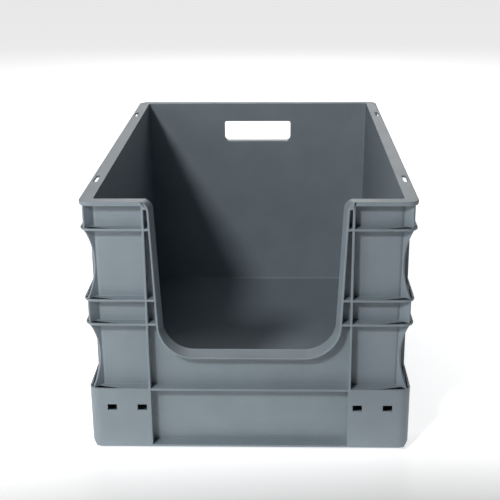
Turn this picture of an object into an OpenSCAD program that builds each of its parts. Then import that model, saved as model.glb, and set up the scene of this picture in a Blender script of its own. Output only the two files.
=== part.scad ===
// Euro-format stacking bin with a large pick opening in its front wall.
// +Z is up, the open front faces -Y and the origin is at the centre of the base.

/* [Overall] */
// Outside width across the front
bin_w = 400; // [380:1:440]
// Outside length from front to rear
bin_l = 600; // [560:1:640]
// Height from the stacking foot to the top of the rim
bin_h = 328; // [318:1:360]
// Plan radius of the outside corners of rim, ribs and base blocks
corner_r = 14; // [10:1:18]

/* [Shell] */
// Wall thickness
wall_t = 3; // [2.5:0.1:3.5]
// How far each wall leans inwards between rim and base
draft = 3; // [1:0.1:3.5]
// Inside corner radius at the rim
inside_r = 4; // [4:0.5:8]
// Width of the rim over the long sides, out to the outside edge
rim_side = 16.5; // [14:0.5:18]
// Width of the rim over the front and the rear
rim_end = 15; // [14:0.5:18]
// Thickness of the rim flange
rim_t = 3; // [2.5:0.1:4]
// Height of the turned-down edge of the rim
rim_edge = 5.2; // [4.5:0.1:8]
// Thickness of the turned-down edge
edge_t = 2.5; // [2:0.1:3]

/* [Base] */
// Height at which the bin rests on the rim of the one below
ledge_z = 5; // [4:0.5:7]
// Thickness of the bottom flange and of the block plates
plate_t = 3; // [2.5:0.1:4]
// Thickness of the floor panel
floor_t = 3; // [2.5:0.1:4]
// Underside of the floor panel
floor_z = 9.5; // [9:0.5:12]
// Thickness of the stacking foot ring
foot_t = 3; // [2.5:0.1:4]
// Corner radius of the stacking foot ring
foot_r = 6; // [4:1:10]
// Spacing of the grid ribs under the floor
grid_pitch = 50; // [40:5:55]
// Thickness of the grid ribs
grid_t = 2; // [1.5:0.1:3]
// Distance from the ground up to the grid ribs
grid_gap = 1.5; // [1:0.5:3]

/* [Base blocks] */
// Top of the base blocks and of the base rib
block_z = 86.3; // [80:0.1:95]
// Distance from the centre of the front to the inner end of a block
block_x = 122.5; // [118:0.5:126]
// Distance from the centre of a long side to the inner end of a block
block_y = 233.5; // [225:0.5:240]
// Chamfer along the bottom edge of a block on the long sides
block_chamfer = 6; // [3:0.5:8]
// Width of a label clip slot
slot_w = 11.5; // [8:0.5:14]
// Height of a label clip slot
slot_h = 7.6; // [5:0.1:9]
// Centre height of the label clip slots
slot_z = 60.3; // [50:0.1:70]
// Centre distances of the inner and outer slot from the middle of the front
slot_x = [134.2, 171.8]; // [128:0.1:180]

/* [Ribs] */
// Undersides of the upper rib and the two middle ribs
rib_z = [292, 202.4, 171]; // [150:0.5:300]
// Thickness of the horizontal ribs
rib_t = 3; // [2.5:0.1:3.5]
// Thickness of the vertical ribs and the corner gussets
web_t = 3; // [2:0.1:3.5]
// Distance of the vertical ribs at front and rear from the middle
end_web_x = 124; // [120:0.5:126]
// Distances of the vertical ribs on the long sides from the middle
side_web_y = [78, 235]; // [60:1:240]
// How far the vertical ribs on the long sides stay inside the outside edge
side_web_in = 2; // [0:0.1:2.4]
// Depth of the scallop in the edge of a corner gusset
scallop = 12.5; // [8:0.5:15]
// How far the corner gussets stay inside the outside corners
gusset_in = 1.5; // [1:0.1:3]

/* [Pick opening] */
// Half width of the opening at the height of the corner centres
open_x = 110.6; // [100:0.1:112]
// Bottom of the opening at the outside face
open_z = 129.3; // [110:0.1:140]
// Bottom corner radius of the opening at the outside face
open_r = 43; // [25:1:45]
// Angle by which the sides open out towards the top
open_flare = 2.3; // [0:0.1:3]
// How much the opening narrows from its outside to its inside face
open_taper = 4; // [0:0.5:5]
// Thickness of the lip round the opening
lip_t = 2.6; // [2:0.1:3]
// Radius with which the lip turns into the rim
bend_r = 12.5; // [10:0.5:14]
// How far the rim edge reaches down between the lip and the vertical rib
bend_fill = 4.4; // [2:0.1:6]

/* [Hand hole] */
// Width of the hand hole in the rear wall
hole_w = 112; // [90:1:130]
// Height of the hand hole
hole_h = 34.5; // [28:0.5:40]
// Distance from the rim down to the hand hole
hole_drop = 30.6; // [28:0.1:36]
// Corner radius at the bottom of the hand hole
hole_r = 7; // [4:0.5:12]
// Corner radius at the top of the hand hole
hole_top_r = 3.5; // [2:0.5:6]
// Thickness of the collar round the hand hole
collar_t = 2.5; // [2:0.1:4]
// How far the collar stops short of the outside edge of the rim
collar_gap = 2; // [1:0.5:5]

/* [Rim slots] */
// Length of a slot in the side rims
rim_slot_l = 30; // [15:1:40]
// Width of a slot in the side rims
rim_slot_w = 5; // [4.5:0.1:5]
// Distance of the slots from the middle of the long side
rim_slot_y = 196; // [120:1:210]
// Distance of the slots from the outside edge
rim_slot_in = 6.3; // [6:0.1:6.5]

/* [Hidden] */
$fn = 64;

half_w = bin_w / 2;
half_l = bin_l / 2;
wall_z0 = ledge_z + plate_t;          // bottom of the walls
wall_z1 = bin_h - rim_t;              // top of the walls, under the rim
floor_z1 = floor_z + floor_t;         // floor surface inside
skirt_z = bin_h - rim_edge;           // lower end of the turned-down rim edge
axis_x = half_w - rim_side - inside_r; // corner axis of the shell
axis_y = half_l - rim_end - inside_r;
foot_x = half_w - rim_side - draft;   // outside of the stacking foot
foot_y = half_l - rim_end - draft;
open_cx = open_x - open_r;            // centre of a bottom corner of the opening
open_cz = open_z + open_r;
bend_z = bin_h - bend_r;              // centre height of the bend into the rim
// half width of the opening where the bend starts
bend_x = open_cx + open_r / cos(open_flare) + (bend_z - open_cz) * tan(open_flare);
bend_cx = bend_x + bend_r;
hole_z1 = bin_h - hole_drop;
hole_z0 = hole_z1 - hole_h;
slack = 1;                            // overrun of cutting shapes
reach = bin_l;                        // longer than any part of the bin

// Vertical spaces between the horizontal ribs, from the block tops up to the rim
bays = [
    [block_z, rib_z[2]],
    [rib_z[2] + rib_t, rib_z[1]],
    [rib_z[1] + rib_t, rib_z[0]],
    [rib_z[0] + rib_t, wall_z1]
];
scalloped = [true, false, true, false];

// Inward lean of a wall at height z, zero at the rim
function lean(z) = draft * (bin_h - z) / (bin_h - wall_z0);
// Inside faces of the walls at height z
function inner_x(z) = half_w - rim_side - lean(z);
function inner_y(z) = half_l - rim_end - lean(z);
// Radius of the cutting cone of the opening at distance d behind the outside face
function open_radius(d) = open_r - open_taper * d / rim_end;
// Radius of the bend from the rim into the opening at distance d behind the outside face
function bend_radius(d) = bend_r + open_taper * d / rim_end;

module plastic(tone = 0.5) {
    color([tone, tone * 1.06, tone * 1.1]) children();
}

// Solid block in the shape of the drafted shell, grown by g from its inside faces
module shell_block(g, z0, z1) {
    rotate([90, 0, 0])
        linear_extrude(2 * axis_y, center = true)
            polygon([
                [-inner_x(z0) - g, z0], [inner_x(z0) + g, z0],
                [inner_x(z1) + g, z1], [-inner_x(z1) - g, z1]
            ]);
    rotate([90, 0, 90])
        linear_extrude(2 * axis_x, center = true)
            polygon([
                [-inner_y(z0) - g, z0], [inner_y(z0) + g, z0],
                [inner_y(z1) + g, z1], [-inner_y(z1) - g, z1]
            ]);
    for (sx = [-1, 1], sy = [-1, 1])
        translate([sx * axis_x, sy * axis_y, z0])
            cylinder(h = z1 - z0, r1 = inside_r - lean(z0) + g, r2 = inside_r - lean(z1) + g);
}

// Rectangle of half sizes hx, hy with corners of radius r
module round_rect(hx, hy, r) {
    square([2 * hx - 2 * r, 2 * hy], center = true);
    square([2 * hx, 2 * hy - 2 * r], center = true);
    for (sx = [-1, 1], sy = [-1, 1])
        translate([sx * (hx - r), sy * (hy - r)]) circle(r);
}

// Slab with the bin's outside outline, set in by g
module envelope(z0, z1, g = 0) {
    translate([0, 0, z0])
        linear_extrude(z1 - z0)
            round_rect(half_w - g, half_l - g, corner_r - g);
}

// Flat ring from the outside outline in to the walls
module rib_ring(z0, z1) {
    difference() {
        envelope(z0, z1);
        shell_block(wall_t, z0 - slack, z1 + slack);
    }
}

// Tapered cutter in the shape of the pick opening, grown by g
module opening_cutter(g = 0) {
    depth = rim_end + draft + wall_t + slack;
    r_front = open_radius(-slack) + g;
    r_back = open_radius(depth - slack) + g;
    bend_front = bend_radius(-slack) - g;
    bend_back = bend_radius(depth - slack) - g;
    low_h = bend_z - open_cz;
    translate([0, -half_l - slack, open_cz]) {
        // bottom corners and the sides above them, opening out by the flare angle
        for (s = [-1, 1])
            translate([s * open_cx, 0, 0]) {
                rotate([-90, 0, 0]) cylinder(h = depth, r1 = r_front, r2 = r_back, $fn = 128);
                intersection() {
                    rotate([0, s * open_flare, 0])
                        linear_extrude(bin_h)
                            polygon([
                                [-s * open_cx, 0], [s * r_front, 0],
                                [s * r_back, depth], [-s * open_cx, depth]
                            ]);
                    translate([-reach, -slack, 0]) cube([2 * reach, depth + 2 * slack, low_h]);
                }
            }
        // bottom between the two corners
        rotate([90, 0, 90])
            linear_extrude(2 * open_cx, center = true)
                polygon([[0, -r_front], [depth, -r_back], [depth, low_h], [0, low_h]]);
        // top, with the rim bending down into the sides
        translate([0, 0, low_h])
            difference() {
                translate([-bend_cx, 0, 0]) cube([2 * bend_cx, depth, bend_r + slack]);
                for (s = [-1, 1])
                    translate([s * bend_cx, -slack, 0]) rotate([-90, 0, 0])
                        cylinder(h = depth + 2 * slack, r1 = bend_front, r2 = bend_back, $fn = 128);
            }
    }
}

// Everything behind the outside face of the front wall and of the rim above it
module behind_front() {
    rim_y = rim_end - half_l;
    rotate([90, 0, 90])
        linear_extrude(bin_w, center = true)
            polygon([
                [-inner_y(wall_z0) - wall_t, wall_z0], [0, wall_z0], [0, bin_h + slack],
                [rim_y, bin_h + slack], [rim_y, wall_z1], [-inner_y(wall_z1) - wall_t, wall_z1]
            ]);
}

// ---------------------------------------------------------------- base

module floor_panel() {
    plastic(0.42) shell_block(0, floor_z, floor_z1);
}

module floor_grid() {
    span_x = foot_x - foot_t;
    span_y = foot_y - foot_t;
    plastic(0.42)
        for (i = [-floor(span_x / grid_pitch):floor(span_x / grid_pitch)])
            translate([i * grid_pitch - grid_t / 2, -span_y, grid_gap])
                cube([grid_t, 2 * span_y, floor_z - grid_gap]);
    plastic(0.42)
        for (i = [-floor(span_y / grid_pitch):floor(span_y / grid_pitch)])
            translate([-span_x, i * grid_pitch - grid_t / 2, grid_gap])
                cube([2 * span_x, grid_t, floor_z - grid_gap]);
}

module stacking_foot() {
    plastic(0.45)
        linear_extrude(floor_z)
            difference() {
                round_rect(foot_x, foot_y, foot_r);
                round_rect(foot_x - foot_t, foot_y - foot_t, foot_r - foot_t);
            }
}

// Square region of one base block, past the outside of the bin and set in by g
module block_square(sx, sy, z0, z1, g = 0) {
    translate([
        sx > 0 ? block_x + g : -block_x - g - reach,
        sy > 0 ? block_y + g : -block_y - g - reach,
        z0
    ])
        cube([reach, reach, z1 - z0]);
}

// Square regions of all four base blocks
module block_squares(z0, z1) {
    for (sx = [-1, 1], sy = [-1, 1])
        block_square(sx, sy, z0, z1);
}

module bottom_flange() {
    plastic(0.5)
        difference() {
            envelope(ledge_z, wall_z0);
            translate([0, 0, ledge_z - slack])
                linear_extrude(plate_t + 2 * slack) round_rect(foot_x, foot_y, foot_r);
            block_squares(ledge_z - slack, wall_z0 + slack);
        }
}

// Hollow block round one corner; sx, sy pick the corner
module base_block(sx, sy, slots = false) {
    plastic(0.52)
        difference() {
            intersection() {
                envelope(ledge_z, block_z);
                block_square(sx, sy, 0, block_z);
            }
            // shell above the flange, stacking foot below it
            shell_block(wall_t, wall_z0, block_z + slack);
            linear_extrude(wall_z0 + slack) round_rect(foot_x, foot_y, foot_r);
            // hollow behind the faces
            intersection() {
                envelope(wall_z0, block_z - plate_t, plate_t);
                block_square(sx, sy, 0, block_z, plate_t);
            }
            // lead-in along the long side
            translate([sx * half_w, 0, ledge_z])
                rotate([90, 0, 0])
                    linear_extrude(2 * half_l + 2 * slack, center = true)
                        polygon([
                            [-sx * block_chamfer, -slack], [sx * slack, -slack],
                            [sx * slack, block_chamfer], [0, block_chamfer],
                            [-sx * block_chamfer, 0]
                        ]);
            if (slots)
                for (x = slot_x)
                    translate([sx * x - slot_w / 2, -half_l - slack, slot_z - slot_h / 2])
                        cube([slot_w, plate_t + 2 * slack, slot_h]);
        }
}

module front_left_block() { base_block(-1, -1, slots = true); }
module front_right_block() { base_block(1, -1, slots = true); }
module rear_left_block() { base_block(-1, 1); }
module rear_right_block() { base_block(1, 1); }

// ---------------------------------------------------------------- shell

// Drafted side wall on side s
module side_wall(s) {
    plastic(0.48)
        rotate([90, 0, 0])
            linear_extrude(2 * axis_y, center = true)
                polygon([
                    [s * inner_x(wall_z0), wall_z0], [s * (inner_x(wall_z0) + wall_t), wall_z0],
                    [s * (inner_x(wall_z1) + wall_t), wall_z1], [s * inner_x(wall_z1), wall_z1]
                ]);
}

// Drafted end wall on side s, without its cut-out
module end_wall(s) {
    rotate([90, 0, 90])
        linear_extrude(2 * axis_x, center = true)
            polygon([
                [s * inner_y(wall_z0), wall_z0], [s * (inner_y(wall_z0) + wall_t), wall_z0],
                [s * (inner_y(wall_z1) + wall_t), wall_z1], [s * inner_y(wall_z1), wall_z1]
            ]);
}

// Rounded corner of the shell between two walls
module shell_corner(sx, sy) {
    plastic(0.5)
        translate([sx * axis_x, sy * axis_y, 0])
            mirror([sx < 0 ? 1 : 0, 0, 0])
                mirror([0, sy < 0 ? 1 : 0, 0])
                    rotate_extrude(angle = 90)
                        polygon([
                            [inside_r - lean(wall_z0), wall_z0],
                            [inside_r - lean(wall_z0) + wall_t, wall_z0],
                            [inside_r - lean(wall_z1) + wall_t, wall_z1],
                            [inside_r - lean(wall_z1), wall_z1]
                        ]);
}

module left_wall() { side_wall(-1); }
module right_wall() { side_wall(1); }
module front_left_corner() { shell_corner(-1, -1); }
module front_right_corner() { shell_corner(1, -1); }
module rear_left_corner() { shell_corner(-1, 1); }
module rear_right_corner() { shell_corner(1, 1); }

// Outline of the hand hole grown by g, seen from the front
module hole_outline(g = 0) {
    low = hole_r + g;
    top = hole_top_r + g;
    for (s = [-1, 1]) {
        translate([s * (hole_w / 2 - hole_r), hole_z0 + hole_r]) circle(low);
        translate([s * (hole_w / 2 - hole_top_r), hole_z1 - hole_top_r]) circle(top);
    }
    translate([-hole_w / 2 - g, hole_z0 + hole_r])
        square([hole_w + 2 * g, hole_h - hole_r - hole_top_r]);
    translate([-hole_w / 2 + hole_r, hole_z0 - g])
        square([hole_w - 2 * hole_r, hole_h + 2 * g]);
    translate([-hole_w / 2 + hole_top_r, hole_z1 - 2 * hole_r])
        square([hole_w - 2 * hole_top_r, 2 * hole_r + g]);
}

module rear_wall() {
    plastic(0.45)
        difference() {
            end_wall(1);
            translate([0, reach / 2 + half_l, 0]) rotate([90, 0, 0])
                linear_extrude(reach) hole_outline();
        }
}

module front_wall() {
    plastic(0.48)
        difference() {
            end_wall(-1);
            opening_cutter();
        }
}

module hand_hole_collar() {
    plastic(0.48)
        difference() {
            translate([0, half_l - collar_gap, 0]) rotate([90, 0, 0])
                linear_extrude(rim_end)
                    difference() {
                        hole_outline(collar_t);
                        hole_outline();
                    }
            shell_block(wall_t, wall_z0, bin_h);
        }
}

// ---------------------------------------------------------------- rim

// Flat outline of the rim between x0 and x1, y0 and y1
module rim_plan(x0, x1, y0, y1) {
    intersection() {
        difference() {
            round_rect(half_w, half_l, corner_r);
            round_rect(half_w - rim_side, half_l - rim_end, inside_r);
        }
        translate([x0, y0]) square([x1 - x0, y1 - y0]);
    }
}

// Outline of the turned-down edge of the rim between x0 and x1, y0 and y1
module edge_plan(x0, x1, y0, y1) {
    intersection() {
        difference() {
            round_rect(half_w, half_l, corner_r);
            round_rect(half_w - edge_t, half_l - edge_t, corner_r - edge_t);
        }
        translate([x0, y0]) square([x1 - x0, y1 - y0]);
    }
}

module side_rim(s) {
    x0 = s > 0 ? axis_x : -half_w;
    x1 = s > 0 ? half_w : -axis_x;
    plastic(0.66) {
        translate([0, 0, skirt_z])
            linear_extrude(rim_edge - rim_t) edge_plan(x0, x1, -half_l, half_l);
        translate([0, 0, wall_z1])
            linear_extrude(rim_t)
                difference() {
                    rim_plan(x0, x1, -half_l, half_l);
                    for (sy = [-1, 1])
                        translate([s * (half_w - rim_slot_in), sy * rim_slot_y]) {
                            square([rim_slot_w, rim_slot_l - rim_slot_w], center = true);
                            for (e = [-1, 1])
                                translate([0, e * (rim_slot_l - rim_slot_w) / 2])
                                    circle(rim_slot_w / 2);
                        }
                }
    }
}

module left_rim() { side_rim(-1); }
module right_rim() { side_rim(1); }

module rear_rim() {
    plastic(0.62)
        translate([-axis_x, 0, 0]) {
            translate([0, half_l - rim_end, wall_z1]) cube([2 * axis_x, rim_end, rim_t]);
            translate([0, half_l - edge_t, skirt_z]) cube([2 * axis_x, edge_t, rim_edge - rim_t]);
        }
}

// Rim over one front column; the edge runs on to the lip and fills the bend beside it
module front_rim(s) {
    web_in = end_web_x - web_t / 2;
    plastic(0.66)
        mirror([s < 0 ? 1 : 0, 0, 0])
            difference() {
                union() {
                    translate([bend_cx, -half_l, wall_z1]) cube([axis_x - bend_cx, rim_end, rim_t]);
                    translate([open_x, -half_l, skirt_z])
                        cube([axis_x - open_x, edge_t, rim_edge - rim_t]);
                    translate([open_x, -half_l, skirt_z - bend_fill])
                        cube([web_in - open_x, edge_t, bend_fill + slack]);
                }
                opening_cutter(lip_t);
            }
}

module front_left_rim() { front_rim(-1); }
module front_right_rim() { front_rim(1); }

// Lip round the opening, bending into the rim at both top ends
module opening_lip() {
    plastic(0.6)
        difference() {
            intersection() {
                opening_cutter(lip_t);
                translate([-bend_cx, -half_l, 0]) cube([2 * bend_cx, half_l, bin_h]);
            }
            opening_cutter();
            behind_front();
        }
}

// ---------------------------------------------------------------- ribs

module base_rib() {
    plastic(0.58)
        difference() {
            rib_ring(block_z - plate_t, block_z);
            block_squares(block_z - plate_t - slack, block_z + slack);
        }
}

// Rib that runs round the bin and stops at the lip and the hand hole
module open_rib(z) {
    plastic(0.58)
        difference() {
            rib_ring(z, z + rib_t);
            opening_cutter(lip_t);
            translate([0, reach + half_l / 2, 0]) rotate([90, 0, 0])
                linear_extrude(reach) hole_outline(collar_t);
        }
}

module lower_middle_rib() { open_rib(rib_z[2]); }
module upper_middle_rib() { open_rib(rib_z[1]); }
module upper_rib() { open_rib(rib_z[0]); }

// Outline of a vertical rib from the wall face base(z) to out, cut back to notch under the rim edge
function web_outline(z0, z1, base, out, notch) = z1 < wall_z1
    ? [[base(z0), z0], [out, z0], [out, z1], [base(z1), z1]]
    : [
        [base(z0), z0], [out, z0], [out, skirt_z],
        [notch, skirt_z], [notch, z1], [base(z1), z1]
    ];

// Outside faces of the walls, from which the vertical ribs start
outer_x = function (z) inner_x(z) + wall_t;
outer_y = function (z) inner_y(z) + wall_t;

// Vertical ribs on the end wall on side s, clear of the base blocks
module end_webs(s) {
    for (sx = [-1, 1], bay = bays)
        translate([sx * end_web_x, 0, 0])
            mirror([0, s < 0 ? 1 : 0, 0])
                rotate([90, 0, 90])
                    linear_extrude(web_t, center = true)
                        polygon(web_outline(bay[0], bay[1], outer_y, half_l, half_l - edge_t));
}

// Vertical ribs on the long side s
module side_webs(s) {
    low_bay = [[wall_z0, block_z - plate_t]];
    plastic(0.56)
        for (sy = [-1, 1], i = [0:1], bay = i == 0 ? concat(low_bay, bays) : bays)
            translate([0, sy * side_web_y[i], 0])
                mirror([s < 0 ? 1 : 0, 0, 0])
                    rotate([90, 0, 0])
                        linear_extrude(web_t, center = true)
                            polygon(web_outline(
                                bay[0], bay[1], outer_x, half_w - side_web_in, half_w - edge_t
                            ));
}

module front_webs() {
    plastic(0.56)
        difference() {
            end_webs(-1);
            opening_cutter(lip_t);
        }
}

module rear_webs() {
    plastic(0.56) end_webs(1);
}

module left_webs() { side_webs(-1); }
module right_webs() { side_webs(1); }

// Diagonal gusset plates between the ribs at one corner, scalloped in the tall bays
module gusset(sx, sy) {
    tip = corner_r - gusset_in;
    // the square end of a plate stays inside the arc of the rim edge
    notch = sqrt(pow(corner_r - edge_t, 2) - web_t * web_t / 4);
    plastic(0.54)
        for (i = [0:len(bays) - 1]) {
            z0 = bays[i][0];
            z1 = bays[i][1];
            scallop_r = ((z1 - z0) * (z1 - z0) / 4 + scallop * scallop) / (2 * scallop);
            difference() {
                translate([sx * (half_w - corner_r), sy * (half_l - corner_r), 0])
                    rotate([90, 0, sx > 0 ? sy * 45 : 180 - sy * 45])
                        linear_extrude(web_t, center = true)
                            difference() {
                                polygon(web_outline(z0, z1, function (z) -corner_r, tip, notch));
                                if (scalloped[i])
                                    translate([tip - scallop + scallop_r, (z0 + z1) / 2])
                                        circle(scallop_r, $fn = 128);
                            }
                translate([sx * axis_x, sy * axis_y, z0 - slack])
                    cylinder(
                        h = z1 - z0 + 2 * slack,
                        r1 = inside_r - lean(z0 - slack) + wall_t,
                        r2 = inside_r - lean(z1 + slack) + wall_t
                    );
                // inner end of the plate, inside the bin
                translate([
                    sx > 0 ? axis_x - 2 * corner_r : -axis_x,
                    sy > 0 ? axis_y - 2 * corner_r : -axis_y,
                    z0 - slack
                ])
                    cube([2 * corner_r, 2 * corner_r, z1 - z0 + 2 * slack]);
            }
        }
}

module front_left_gusset() { gusset(-1, -1); }
module front_right_gusset() { gusset(1, -1); }
module rear_left_gusset() { gusset(-1, 1); }
module rear_right_gusset() { gusset(1, 1); }

floor_panel();
floor_grid();
stacking_foot();
bottom_flange();
left_wall();
right_wall();
rear_wall();
front_wall();
front_left_corner();
front_right_corner();
rear_left_corner();
rear_right_corner();
left_rim();
right_rim();
rear_rim();
front_left_rim();
front_right_rim();
opening_lip();
hand_hole_collar();
front_left_block();
front_right_block();
rear_left_block();
rear_right_block();
base_rib();
lower_middle_rib();
upper_middle_rib();
upper_rib();
front_webs();
rear_webs();
left_webs();
right_webs();
front_left_gusset();
front_right_gusset();
rear_left_gusset();
rear_right_gusset();
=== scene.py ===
"""Looks of the stacking bin: one moulding with rounded edges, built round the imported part."""

import math
from functools import reduce

import bmesh
import bpy
from mathutils import Matrix, Vector


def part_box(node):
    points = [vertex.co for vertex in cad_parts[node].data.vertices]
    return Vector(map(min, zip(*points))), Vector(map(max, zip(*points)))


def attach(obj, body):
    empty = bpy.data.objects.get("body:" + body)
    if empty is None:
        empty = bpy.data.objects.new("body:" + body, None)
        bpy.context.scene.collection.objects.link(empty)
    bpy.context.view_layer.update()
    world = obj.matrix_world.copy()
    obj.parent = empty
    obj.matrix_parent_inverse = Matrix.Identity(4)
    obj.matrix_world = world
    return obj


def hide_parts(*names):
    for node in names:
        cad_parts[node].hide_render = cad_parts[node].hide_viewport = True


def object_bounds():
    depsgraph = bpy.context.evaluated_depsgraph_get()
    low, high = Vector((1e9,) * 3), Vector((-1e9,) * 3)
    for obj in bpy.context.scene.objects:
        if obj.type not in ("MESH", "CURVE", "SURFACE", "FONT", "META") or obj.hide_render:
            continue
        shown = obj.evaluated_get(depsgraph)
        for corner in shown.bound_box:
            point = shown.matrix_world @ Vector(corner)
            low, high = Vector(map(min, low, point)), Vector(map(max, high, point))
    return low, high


MM = 0.001

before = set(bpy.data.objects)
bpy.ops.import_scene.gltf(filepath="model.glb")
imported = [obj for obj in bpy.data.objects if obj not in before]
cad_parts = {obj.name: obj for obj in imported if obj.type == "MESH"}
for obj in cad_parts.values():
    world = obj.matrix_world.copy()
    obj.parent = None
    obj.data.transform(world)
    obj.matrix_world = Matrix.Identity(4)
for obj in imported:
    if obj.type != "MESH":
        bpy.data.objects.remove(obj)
cad_low, cad_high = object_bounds()


# ---------------------------------------------------------------- sizes, from the frame

def low(node):
    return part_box(node)[0]


def high(node):
    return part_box(node)[1]


HALF_W = cad_high.x
HALF_L = cad_high.y
TOP = cad_high.z
WALL_Z0 = low("left_wall").z
RIM_Z0 = high("left_wall").z
SKIRT_Z = low("left_rim").z
FLANGE_Z0 = low("bottom_flange").z
FLOOR_Z0 = low("floor_panel").z
FLOOR_Z1 = high("floor_panel").z
GRID_Z0 = low("floor_grid").z
FOOT_X = high("stacking_foot").x
FOOT_Y = high("stacking_foot").y
GRID_X = high("floor_grid").x
GRID_Y = high("floor_grid").y
BLOCK_X = low("front_right_block").x
BLOCK_Y = low("rear_right_block").y
BLOCK_Z = high("front_right_block").z
BASE_RIB_Z0 = low("base_rib").z
RIB_NODES = ("upper_rib", "upper_middle_rib", "lower_middle_rib")
RIBS = [(low(n).z, high(n).z) for n in RIB_NODES]
RIM_INNER_Y = low("rear_rim").y
AXIS_X = -high("left_rim").x
FOOT_T = FOOT_X - GRID_X

# ---------------------------------------------------------------- sizes that no box gives

CORNER_R = 14 * MM
INSIDE_R = 4 * MM
WALL_T = 3 * MM
DRAFT = 3 * MM
PLATE_T = 3 * MM
WEB_T = 3 * MM
EDGE_T = 2.5 * MM
FOOT_R = 6 * MM
GRID_PITCH = 50 * MM
GRID_T = 2 * MM
BLOCK_CHAMFER = 6 * MM
# label slots in the base blocks
SLOT_X = (134.2 * MM, 171.8 * MM)
SLOT_Z = 60.3 * MM
SLOT_W = 11.5 * MM
SLOT_H = 7.6 * MM
SLOT_DEPTH = 1.5 * PLATE_T
# vertical ribs and corner gussets
END_WEB_X = 124 * MM
SIDE_WEB_Y = (78 * MM, 235 * MM)
SIDE_WEB_IN = 2 * MM
SCALLOP = 12.5 * MM
GUSSET_IN = 1.5 * MM
# pick opening: centre and radius of its bottom corners, and how its sides run up into the rim
OPEN_CX = 67.6 * MM
OPEN_CZ = 172.3 * MM
OPEN_R = 43 * MM
OPEN_FLARE = math.radians(2.3)
LIP_T = 2.6 * MM
BEND_R = 12.5 * MM
BEND_RISE = 0.4 * MM
BEND_FILL = 4.4 * MM
# how much the opening narrows for each unit of depth
OPEN_TAPER = 4 / 15
# degrees by which a bottom corner's arc stops short of the side
ARC_SHORT = 5
# hand hole
HOLE_W = 112 * MM
HOLE_Z0 = 262.9 * MM
HOLE_Z1 = 297.4 * MM
HOLE_R = 7 * MM
HOLE_TOP_R = 3.5 * MM
COLLAR_T = 2.5 * MM
COLLAR_GAP = 2 * MM
# slots in the side rims
RIM_SLOT_L = 30 * MM
RIM_SLOT_W = 5 * MM
RIM_SLOT_Y = 196 * MM
RIM_SLOT_IN = 6.3 * MM

# ---------------------------------------------------------------- how the mesh is made

# overrun of cutting shapes, and the smaller one under the cells of the floor grid
OVER = 5 * MM
CELL_OVER = OVER / 5
# overlap of shapes that are joined
INTO = PLATE_T / 2
FLOOR_FILLET = 2.5 * MM
SMALLEST_R = 1 * MM
# straight steps in each arc
CORNER_STEPS = 8
SHELL_STEPS = 4
FILLET_STEPS = 4
RECESS_STEPS = 3
SCALLOP_STEPS = 20
OPENING_STEPS = 26
BEND_STEPS = 10
HOLE_STEPS = 8
HOLE_TOP_STEPS = 6
SLOT_STEPS = 10
# distances within which points are merged, pass by pass, and faces taken as one plane
MERGES = (0.02 * MM, 0.2 * MM)
FLAT = math.radians(0.3)
# rounding: its width, which edges get it, and its share at inside and at short edges
BEVEL = 0.9 * MM
BEVEL_SEGMENTS = 2
SHARP = math.radians(28)
INSIDE_SHARE = 0.5
SHORT_SHARE = 0.4
# edges sharper than this stay sharp in the shading
SHADE_SHARP = math.radians(50)
FACE_WEIGHT = 100
# the corner columns end this far inside the corner axis and short of the blocks
COLUMN_IN_X = 4 * OVER
COLUMN_IN_Y = OVER


def lean(z):
    """Inward lean of a wall at height z, zero at the rim."""
    return DRAFT * (TOP - z) / (TOP - WALL_Z0)


def inner_x(z):
    return AXIS_X + INSIDE_R - lean(z)


def inner_y(z):
    return RIM_INNER_Y - lean(z)


# ---------------------------------------------------------------- solids

def solid(name, rings):
    """A closed object through rings of points, each with the same count, capped at both ends."""
    mesh = bmesh.new()
    rows = [[mesh.verts.new(p) for p in ring] for ring in rings]
    for lower, upper in zip(rows, rows[1:]):
        for i in range(len(lower)):
            j = (i + 1) % len(lower)
            mesh.faces.new((lower[i], lower[j], upper[j], upper[i]))
    mesh.faces.new(rows[0][::-1])
    mesh.faces.new(rows[-1])
    bmesh.ops.recalc_face_normals(mesh, faces=mesh.faces)
    return to_object(name, mesh)


def to_object(name, mesh):
    data = bpy.data.meshes.new(name)
    mesh.to_mesh(data)
    mesh.free()
    made = bpy.data.objects.new(name, data)
    bpy.context.scene.collection.objects.link(made)
    return made


def plate(name, outline, z0, z1):
    return solid(name, [[(x, y, z) for x, y in outline] for z in (z0, z1)])


def box(name, x0, x1, y0, y1, z0, z1):
    return plate(name, [(x0, y0), (x1, y0), (x1, y1), (x0, y1)], z0, z1)


def along_y(name, outline, y0, y1):
    return solid(name, [[(x, y, z) for x, z in outline] for y in (y0, y1)])


def add_cube(mesh, centre, size):
    place = Matrix.Translation(centre) @ Matrix.Diagonal((*size, 1))
    bmesh.ops.create_cube(mesh, size=1, matrix=place)


def arc(cx, cy, r, start, stop, steps):
    angles = [math.radians(start + (stop - start) * i / steps) for i in range(steps + 1)]
    return [(cx + r * math.cos(a), cy + r * math.sin(a)) for a in angles]


def round_rect(hx, hy, r, steps=CORNER_STEPS):
    corners = ((1, 1, 0), (-1, 1, 90), (-1, -1, 180), (1, -1, 270))
    points = []
    for sx, sy, start in corners:
        points += arc(sx * (hx - r), sy * (hy - r), r, start, start + 90, steps)
    return points


def combine(target, tool, operation="UNION"):
    """Joins or cuts target with tool, which is used up."""
    modifier = target.modifiers.new(operation, "BOOLEAN")
    modifier.operation = operation
    modifier.solver = "MANIFOLD"
    modifier.object = tool
    apply_modifiers(target)
    bpy.data.objects.remove(tool)
    return target


def apply_modifiers(target):
    view = bpy.context.evaluated_depsgraph_get()
    data = bpy.data.meshes.new_from_object(target.evaluated_get(view))
    target.modifiers.clear()
    target.data = data


def envelope(name, z0, z1, inset=0.0):
    """A slab with the bin's outside outline, set in by inset."""
    return plate(name, round_rect(HALF_W - inset, HALF_L - inset, CORNER_R - inset), z0, z1)


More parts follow.
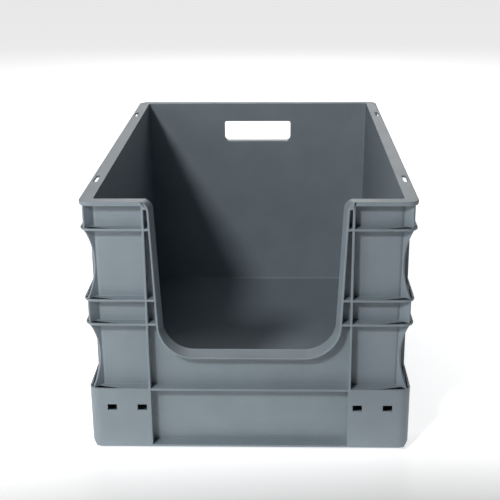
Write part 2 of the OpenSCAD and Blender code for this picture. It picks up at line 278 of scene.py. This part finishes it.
def shell_ring(z, grow):
    """The inside outline of the bin at height z, grown by grow."""
    r = max(INSIDE_R - lean(z) + grow, SMALLEST_R)
    outline = round_rect(inner_x(z) + grow, inner_y(z) + grow, r, SHELL_STEPS)
    return [(x, y, z) for x, y in outline]


def outer_shell():
    return solid("shell", [shell_ring(z, WALL_T) for z in (WALL_Z0 - INTO, TOP - INTO)])


def cavity():
    """The inside of the bin, with a fillet where the walls meet the floor."""
    rings = []
    for i in range(FILLET_STEPS + 1):
        a = math.radians(90 * i / FILLET_STEPS)
        z = FLOOR_Z1 + FLOOR_FILLET * (1 - math.cos(a))
        rings.append(shell_ring(z, FLOOR_FILLET * (math.sin(a) - 1)))
    return solid("cavity", rings + [shell_ring(TOP + OVER, 0)])


def base():
    """Bottom flange and stacking foot, with the foot solid up to the floor."""
    flange = envelope("flange", FLANGE_Z0, WALL_Z0)
    foot = plate("foot", round_rect(FOOT_X, FOOT_Y, FOOT_R), 0, FLOOR_Z1)
    return combine(flange, foot)


def underside():
    """What is cut away under the floor: a recess, and the cells between the grid ribs."""
    outline = round_rect(GRID_X, GRID_Y, FOOT_R - FOOT_T, RECESS_STEPS)
    recess = plate("recess", outline, -OVER, GRID_Z0)
    mesh = bmesh.new()
    for x0, x1 in cells(GRID_X):
        for y0, y1 in cells(GRID_Y):
            z = (FLOOR_Z0 + GRID_Z0) / 2 - CELL_OVER / 2
            size = (x1 - x0, y1 - y0, FLOOR_Z0 - GRID_Z0 + CELL_OVER)
            add_cube(mesh, Vector(((x0 + x1) / 2, (y0 + y1) / 2, z)), size)
    return recess, to_object("cells", mesh)


def cells(reach):
    """Spaces between the grid ribs from -reach to reach."""
    count = int(reach / GRID_PITCH)
    lines = [i * GRID_PITCH for i in range(-count, count + 1)]
    sides = [e for x in lines for e in (x - GRID_T / 2, x + GRID_T / 2)]
    edges = [-reach] + sides + [reach]
    return list(zip(edges[0::2], edges[1::2]))


def block_boxes(inset=0.0):
    """The square regions of the four base blocks, past the outside of the bin, set in by inset."""
    mesh = bmesh.new()
    z0, z1, far = -OVER, TOP, HALF_L * 2
    for sx in (-1, 1):
        for sy in (-1, 1):
            x, y = sx * (BLOCK_X + inset + far / 2), sy * (BLOCK_Y + inset + far / 2)
            add_cube(mesh, (x, y, (z0 + z1) / 2), (far, far, z1 - z0))
    return to_object("regions", mesh)


def base_blocks():
    """Four hollow corner blocks, with label slots in the front pair."""
    blocks = combine(envelope("blocks", FLANGE_Z0, BLOCK_Z), block_boxes(), "INTERSECT")
    hollow = envelope("hollow", WALL_Z0, BASE_RIB_Z0, PLATE_T)
    hollow = combine(hollow, block_boxes(PLATE_T), "INTERSECT")
    blocks = combine(blocks, hollow, "DIFFERENCE")
    z0, z1 = SLOT_Z - SLOT_H / 2, SLOT_Z + SLOT_H / 2
    for s in (-1, 1):
        for x in SLOT_X:
            x0, x1 = s * x - SLOT_W / 2, s * x + SLOT_W / 2
            slot = box("slot", x0, x1, -HALF_L - OVER, -HALF_L + SLOT_DEPTH, z0, z1)
            blocks = combine(blocks, slot, "DIFFERENCE")
    return blocks


def lead_ins():
    """What the chamfers along the bottom of the blocks take off the two long sides."""
    c, made = BLOCK_CHAMFER, []
    for sx in (-1, 1):
        outline = [
            (sx * (HALF_W - c), FLANGE_Z0), (sx * (HALF_W - c), FLANGE_Z0 - OVER),
            (sx * (HALF_W + OVER), FLANGE_Z0 - OVER), (sx * (HALF_W + OVER), FLANGE_Z0 + c),
            (sx * HALF_W, FLANGE_Z0 + c),
        ]
        for sy in (-1, 1):
            y = sorted((sy * BLOCK_Y, sy * (HALF_L + OVER)))
            made.append(along_y("lead_in", outline, *y))
    return reduce(combine, made)


def webs():
    """Vertical ribs on all four sides, from the base up into the rim."""
    top, block = TOP - INTO, BLOCK_Z - INTO
    made = []
    for s in (-1, 1):
        for x in (-END_WEB_X, END_WEB_X):
            y = sorted((s * (inner_y(WALL_Z0) + WALL_T / 2), s * HALF_L))
            made.append(box("web", x - WEB_T / 2, x + WEB_T / 2, *y, block, top))
        for y in (-SIDE_WEB_Y[1], -SIDE_WEB_Y[0], SIDE_WEB_Y[0], SIDE_WEB_Y[1]):
            x = sorted((s * (inner_x(WALL_Z0) + WALL_T / 2), s * (HALF_W - SIDE_WEB_IN)))
            z0 = WALL_Z0 - INTO if abs(y) < BLOCK_Y else block
            made.append(box("web", *x, y - WEB_T / 2, y + WEB_T / 2, z0, top))
    return reduce(combine, made)


def gusset_outline(z0, z1, tip, scalloped):
    """Outline of a corner gusset: distance out along the diagonal, and height."""
    edge = []
    if scalloped:
        half = (z1 - z0) / 2
        r = (half * half + SCALLOP * SCALLOP) / (2 * SCALLOP)
        turn = math.degrees(math.asin(half / r))
        centre = tip - SCALLOP + r, (z0 + z1) / 2
        edge = arc(*centre, r, 180 + turn, 180 - turn, SCALLOP_STEPS)
    bottom = [(-CORNER_R, z0 - INTO), (tip, z0 - INTO)]
    return bottom + edge + [(tip, z1 + INTO), (-CORNER_R, z1 + INTO)]


def gussets():
    """Diagonal plates between the ribs at the four corners, scalloped in the two tall bays."""
    tip = CORNER_R - GUSSET_IN
    floors = [BLOCK_Z] + [z1 for z0, z1 in reversed(RIBS)]
    ceilings = [z0 for z0, z1 in reversed(RIBS)] + [RIM_Z0]
    made = []
    for sx, sy in ((-1, -1), (1, -1), (-1, 1), (1, 1)):
        out = Vector((sx, sy, 0)).normalized()
        side = Vector((-out.y, out.x, 0)) * WEB_T / 2
        foot = Vector((sx * (HALF_W - CORNER_R), sy * (HALF_L - CORNER_R), 0))
        for i, (z0, z1) in enumerate(zip(floors, ceilings)):
            outline = gusset_outline(z0, z1, tip, i % 2 == 0)
            points = [foot + out * d + Vector((0, 0, z)) for d, z in outline]
            made.append(solid("gusset", [[p - side for p in points], [p + side for p in points]]))
    return reduce(combine, made)


def opening_outline(depth, grow=0.0):
    """Outline of the pick opening at a depth behind the outside face, as (x, z) points."""
    r = OPEN_R - OPEN_TAPER * depth + grow
    bend_z = TOP - BEND_R + BEND_RISE
    rise = (bend_z - OPEN_CZ) * math.tan(OPEN_FLARE)
    side = OPEN_CX + OPEN_R / math.cos(OPEN_FLARE) + rise
    bend_x = side + BEND_R - OPEN_TAPER * depth
    flare = math.degrees(OPEN_FLARE)
    right = arc(OPEN_CX, OPEN_CZ, r, -90, -flare - ARC_SHORT, OPENING_STEPS)
    right += arc(bend_x, bend_z, BEND_R - grow, 180 - flare, 90, BEND_STEPS)
    right += [(bend_x, TOP + 2 * OVER)]
    return right + [(-x, z) for x, z in reversed(right)]


def opening(depth0, depth1, grow=0.0):
    """A solid that fills the pick opening between two depths behind the outside face."""
    rings = []
    for depth in (depth0, depth1):
        rings.append([(x, depth - HALF_L, z) for x, z in opening_outline(depth, grow)])
    return solid("opening", rings)


def opening_lip():
    """The lip round the pick opening, filled until the opening is cut."""
    lip = opening(0, HALF_L - inner_y(WALL_Z0), LIP_T)
    reach = max(x for x, z in opening_outline(0))
    clip = box("clip", -reach, reach, -HALF_L - OVER, 0, 0, TOP)
    return combine(lip, clip, "INTERSECT")


def hole_outline(grow=0.0):
    """Outline of the hand hole, as (x, z) points."""
    x_low, z_low = HOLE_W / 2 - HOLE_R, HOLE_Z0 + HOLE_R
    x_top, z_top = HOLE_W / 2 - HOLE_TOP_R, HOLE_Z1 - HOLE_TOP_R
    right = arc(x_low, z_low, HOLE_R + grow, -90, 0, HOLE_STEPS)
    right += arc(x_top, z_top, HOLE_TOP_R + grow, 0, 90, HOLE_TOP_STEPS)
    return right + [(-x, z) for x, z in reversed(right)]


def rim():
    """Flat rim with its turned-down edge, which at the front fills the bend beside the lip."""
    flat = envelope("rim", RIM_Z0, TOP)
    edge = envelope("edge", SKIRT_Z, RIM_Z0 + INTO)
    edge = combine(edge, envelope("inside", SKIRT_Z - OVER, TOP, EDGE_T), "DIFFERENCE")
    reach = OPEN_CX + OPEN_R
    gap = box("gap", -reach, reach, -HALF_L - OVER, -HALF_L + OVER, 0, RIM_Z0)
    edge = combine(edge, gap, "DIFFERENCE")
    z0, z1 = SKIRT_Z - BEND_FILL, SKIRT_Z + INTO
    for s in (-1, 1):
        x = sorted((s * reach, s * END_WEB_X))
        edge = combine(edge, box("fill", *x, -HALF_L, -HALF_L + EDGE_T, z0, z1))
    return combine(flat, edge)


def rim_slots():
    made = []
    r, straight = RIM_SLOT_W / 2, (RIM_SLOT_L - RIM_SLOT_W) / 2
    for sx in (-1, 1):
        for sy in (-1, 1):
            x, y = sx * (HALF_W - RIM_SLOT_IN), sy * RIM_SLOT_Y
            outline = arc(x, y + straight, r, 0, 180, SLOT_STEPS)
            outline += arc(x, y - straight, r, 180, 360, SLOT_STEPS)
            made.append(plate("slot", outline, SKIRT_Z - OVER, TOP + OVER))
    return reduce(combine, made)


def moulding():
    """The whole bin as one closed mesh with sharp edges."""
    made = combine(base(), outer_shell())
    made = combine(made, base_blocks())
    for z0, z1 in [(BASE_RIB_Z0, BLOCK_Z)] + RIBS:
        made = combine(made, envelope("rib", z0, z1))
    for part in (webs(), gussets(), rim(), opening_lip()):
        made = combine(made, part)
    made = combine(made, lead_ins(), "DIFFERENCE")
    inner, collar_end = inner_y(WALL_Z0), HALF_L - COLLAR_GAP
    collar = hole_outline(COLLAR_T)
    made = combine(made, along_y("clear", collar, collar_end, HALF_L + OVER), "DIFFERENCE")
    made = combine(made, along_y("collar", collar, inner, collar_end))
    hole = along_y("hole", hole_outline(), inner - 2 * OVER, HALF_L + OVER)
    cuts = (cavity(), opening(-OVER, HALF_L - inner + OVER), hole, rim_slots(), *underside())
    for cutter in cuts:
        made = combine(made, cutter, "DIFFERENCE")
    return made


def cleaned(target):
    """Flat faces joined up again after the cuts, and stray short edges closed."""
    mesh = bmesh.new()
    mesh.from_mesh(target.data)
    for merge in MERGES:
        bmesh.ops.remove_doubles(mesh, verts=mesh.verts, dist=merge)
        bmesh.ops.dissolve_limit(
            mesh, angle_limit=FLAT, verts=mesh.verts, edges=mesh.edges, delimit={"NORMAL"}
        )
    mesh.to_mesh(target.data)
    mesh.free()
    return target


def rounded(target):
    """Rounded edges and root fillets, smaller where short edges leave no room."""
    mesh = bmesh.new()
    mesh.from_mesh(target.data)
    weight = mesh.edges.layers.float.new("bevel_weight_edge")
    for edge in mesh.edges:
        if abs(edge.calc_face_angle(0)) > SHARP:
            shortest = min(e.calc_length() for v in edge.verts for e in v.link_edges)
            share = 1 if edge.is_convex else INSIDE_SHARE
            edge[weight] = min(share, SHORT_SHARE * shortest / BEVEL)
    mesh.to_mesh(target.data)
    mesh.free()
    modifier = target.modifiers.new("rounding", "BEVEL")
    modifier.width = BEVEL
    modifier.segments = BEVEL_SEGMENTS
    modifier.limit_method = "WEIGHT"
    modifier.use_clamp_overlap = False
    apply_modifiers(target)
    # the rounding of tight corners can rise a little above the rim
    for vertex in target.data.vertices:
        vertex.co.z = min(vertex.co.z, TOP)
    return target


# ---------------------------------------------------------------- pieces

def region(name, source, x, y, z):
    """The part of the moulding inside a box, as its own closed piece."""
    mesh = bmesh.new()
    mesh.from_mesh(source.data)
    for axis, limits in enumerate((x, y, z)):
        for side, limit in zip((-1, 1), limits):
            place, out = Vector((0, 0, 0)), Vector((0, 0, 0))
            place[axis], out[axis] = limit, side
            parts = mesh.verts[:] + mesh.edges[:] + mesh.faces[:]
            cut = bmesh.ops.bisect_plane(
                mesh, geom=parts, plane_co=place, plane_no=out, clear_outer=True
            )
            edges = [e for e in cut["geom_cut"] if isinstance(e, bmesh.types.BMEdge)]
            edges = [e for e in edges if e.is_boundary]
            if edges:
                bmesh.ops.triangle_fill(
                    mesh, use_beauty=True, use_dissolve=False, edges=edges, normal=out
                )
    bmesh.ops.recalc_face_normals(mesh, faces=mesh.faces)
    return to_object(name, mesh)


def smooth(piece):
    """Flat faces stay flat and the rounded edges shade smoothly."""
    piece.data.shade_smooth()
    piece.data.set_sharp_from_angle(angle=SHADE_SHARP)
    modifier = piece.modifiers.new("normals", "WEIGHTED_NORMAL")
    modifier.weight = FACE_WEIGHT
    modifier.keep_sharp = True
    apply_modifiers(piece)


def piece_plan():
    """For each piece its limits in x, y and z, its material slot and the nodes it replaces."""
    far = HALF_L + OVER
    # above the floor and below the label slots
    base_z = (FLOOR_Z1 + BLOCK_Z) / 3
    rim_z = (RIBS[0][1] + SKIRT_Z) / 2
    side_x = AXIS_X - COLUMN_IN_X
    side_y = BLOCK_Y - COLUMN_IN_Y
    whole, left, right = (-far, far), (-far, -side_x), (side_x, far)
    front, rear, between = (-far, -side_y), (side_y, far), (-side_y, side_y)
    middle, tall = (-side_x, side_x), (base_z, rim_z)
    ribs = ("base_rib", "lower_middle_rib", "upper_middle_rib", "upper_rib")
    plan = {
        "base_deck": (whole, whole, (-OVER, base_z), "base",
                      ("floor_panel", "floor_grid", "stacking_foot", "bottom_flange")),
        "rim_frame": (whole, whole, (rim_z, TOP + OVER), "rim",
                      ("left_rim", "right_rim", "rear_rim", "front_left_rim", "front_right_rim")),
        "front_panel": (middle, front, tall, "walls",
                        ("front_wall", "opening_lip", "front_webs")),
        "rear_panel": (middle, rear, tall, "walls",
                       ("rear_wall", "hand_hole_collar", "rear_webs")),
        "left_side": (left, between, tall, "walls", ("left_wall", "left_webs", *ribs)),
        "right_side": (right, between, tall, "walls", ("right_wall", "right_webs")),
    }
    for side, x in (("left", left), ("right", right)):
        for end, y in (("front", front), ("rear", rear)):
            nodes = [f"{end}_{side}_{part}" for part in ("corner", "block", "gusset")]
            plan[f"{end}_{side}_column"] = (x, y, tall, "ribs", nodes)
    return plan


def add_pieces(material):
    """Cuts the moulding into the base, the rim, the four sides and the four corner columns."""
    source = rounded(cleaned(moulding()))
    for name, (x, y, z, slot, nodes) in piece_plan().items():
        piece = region(name, source, x, y, z)
        smooth(piece)
        piece.data.materials.append(material)
        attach(piece, "root")
        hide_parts(*nodes)
    bpy.data.objects.remove(source)


# ---------------------------------------------------------------- materials

# base colour where the mottle is weakest and strongest, and the roughness there
PLASTIC_DARK = (0.230, 0.276, 0.311, 1)
PLASTIC_PALE = (0.260, 0.308, 0.344, 1)
MOTTLE_RANGE = (0.3, 0.7)
GLOSS_RANGE = (0.42, 0.52)
PLASTIC_IOR = 1.49
# noises: scale, detail, roughness
MOTTLE = (22, 4.0, 0.55)
GRAIN = (1500, 2.0, 0.6)
WAVES = (14, 1.0, 0.4)
# bumps: strength, distance
GRAIN_BUMP = (0.25, 0.05 * MM)
WAVES_BUMP = (0.3, 0.6 * MM)
FLOOR_COLOUR = (0.9, 0.9, 0.9, 1)
FLOOR_ROUGHNESS = 0.9
# the floor's own light: from this y, to this y, strength there, strength beyond
FLOOR_GLOW = (-0.45, -0.25, 0.1, 0.8)
WHITE = (1, 1, 1, 1)


def noise(tree, place, scale, detail, roughness):
    made = tree.nodes.new("ShaderNodeTexNoise")
    made.inputs["Scale"].default_value = scale
    made.inputs["Detail"].default_value = detail
    made.inputs["Roughness"].default_value = roughness
    tree.links.new(place, made.inputs["Vector"])
    return made.outputs["Fac"]


def remap(tree, value, low_in, high_in, low_out, high_out):
    made = tree.nodes.new("ShaderNodeMapRange")
    names = ("From Min", "From Max", "To Min", "To Max")
    for name, number in zip(names, (low_in, high_in, low_out, high_out)):
        made.inputs[name].default_value = number
    tree.links.new(value, made.inputs["Value"])
    return made.outputs["Result"]


def bump(tree, height, strength, distance):
    made = tree.nodes.new("ShaderNodeBump")
    made.inputs["Strength"].default_value = strength
    made.inputs["Distance"].default_value = distance
    tree.links.new(height, made.inputs["Height"])
    return made


def new_material(name):
    """A material with its node tree, its shader and the object coordinates in that tree."""
    material = bpy.data.materials.new(name)
    material.use_nodes = True
    tree = material.node_tree
    place = tree.nodes.new("ShaderNodeTexCoord").outputs["Object"]
    return material, tree, tree.nodes["Principled BSDF"], place


def moulded_plastic():
    """Grey polypropylene with a fine grain, faint flow mottling and uneven gloss."""
    material, tree, shader, place = new_material("moulded_polypropylene")
    mottle = noise(tree, place, *MOTTLE)
    ramp = tree.nodes.new("ShaderNodeValToRGB")
    elements = ramp.color_ramp.elements
    for element, position, colour in zip(elements, MOTTLE_RANGE, (PLASTIC_DARK, PLASTIC_PALE)):
        element.position = position
        element.color = colour
    tree.links.new(mottle, ramp.inputs["Fac"])
    tree.links.new(ramp.outputs["Color"], shader.inputs["Base Color"])
    gloss = remap(tree, mottle, *MOTTLE_RANGE, *GLOSS_RANGE)
    tree.links.new(gloss, shader.inputs["Roughness"])
    grain = bump(tree, noise(tree, place, *GRAIN), *GRAIN_BUMP)
    waves = bump(tree, noise(tree, place, *WAVES), *WAVES_BUMP)
    tree.links.new(grain.outputs["Normal"], waves.inputs["Normal"])
    tree.links.new(waves.outputs["Normal"], shader.inputs["Normal"])
    shader.inputs["IOR"].default_value = PLASTIC_IOR
    return material


def pale_floor():
    """A pale floor that glows faintly in front of the bin and more under and behind it."""
    material, tree, shader, place = new_material("pale_floor")
    shader.inputs["Base Color"].default_value = FLOOR_COLOUR
    shader.inputs["Roughness"].default_value = FLOOR_ROUGHNESS
    shader.inputs["Emission Color"].default_value = WHITE
    split = tree.nodes.new("ShaderNodeSeparateXYZ")
    tree.links.new(place, split.inputs["Vector"])
    glow = remap(tree, split.outputs["Y"], *FLOOR_GLOW)
    tree.links.new(glow, shader.inputs["Emission Strength"])
    return material


# ---------------------------------------------------------------- studio

FLOOR_HALF = 8
FLOOR_SEGMENTS = 8
WORLD_LIGHT = 0.0
# name: degrees round to the right of the front, degrees up, metres away, size, watts
LIGHTS = {
    "key": (-25, 35, 2.6, 0.32, 28),
    "fill": (-40, 14, 1.0, 0.5, 1.8),
    "back": (180, 34, 2.6, 1.8, 26),
    "top": (-24, 64, 2.6, 0.9, 3),
}
CAMERA_PLACE = Vector((34.8, -1455.3, 672.7)) * MM
CAMERA_YAW = math.radians(1.548)
CAMERA_PITCH = math.radians(19.357)
CAMERA_ROLL = math.radians(-0.408)
CAMERA_LENS = 74.65
CAMERA_SHIFT = (-0.0026, 0.004)


def add_floor():
    mesh = bmesh.new()
    bmesh.ops.create_grid(
        mesh, x_segments=FLOOR_SEGMENTS, y_segments=FLOOR_SEGMENTS, size=FLOOR_HALF
    )
    floor = to_object("floor", mesh)
    floor.data.materials.append(pale_floor())


def add_light(name, azimuth, elevation, distance, size, watts):
    """A round lamp that faces the middle of the bin."""
    a, e = math.radians(azimuth), math.radians(elevation)
    centre = Vector((0, 0, TOP / 2))
    out = Vector((math.sin(a) * math.cos(e), -math.cos(a) * math.cos(e), math.sin(e)))
    data = bpy.data.lights.new(name, "AREA")
    data.shape = "DISK"
    data.size = size
    data.energy = watts
    light = bpy.data.objects.new(name, data)
    light.location = centre + out * distance
    light.rotation_euler = out.to_track_quat("Z", "Y").to_euler()
    bpy.context.scene.collection.objects.link(light)


def add_world():
    world = bpy.data.worlds.new("studio")
    world.use_nodes = True
    background = world.node_tree.nodes["Background"]
    background.inputs["Color"].default_value = WHITE
    background.inputs["Strength"].default_value = WORLD_LIGHT
    bpy.context.scene.world = world


def add_camera():
    data = bpy.data.cameras.new("camera")
    data.lens = CAMERA_LENS
    data.shift_x, data.shift_y = CAMERA_SHIFT
    camera = bpy.data.objects.new("camera", data)
    yaw = Matrix.Rotation(CAMERA_YAW, 4, "Z")
    pitch = Matrix.Rotation(math.pi / 2 - CAMERA_PITCH, 4, "X")
    roll = Matrix.Rotation(CAMERA_ROLL, 4, "Z")
    camera.matrix_world = Matrix.Translation(CAMERA_PLACE) @ yaw @ pitch @ roll
    bpy.context.scene.collection.objects.link(camera)
    bpy.context.scene.camera = camera


add_pieces(moulded_plastic())
add_floor()
for light_name, light in LIGHTS.items():
    add_light(light_name, *light)
add_world()
add_camera()
bpy.context.scene.view_settings.view_transform = "Standard"
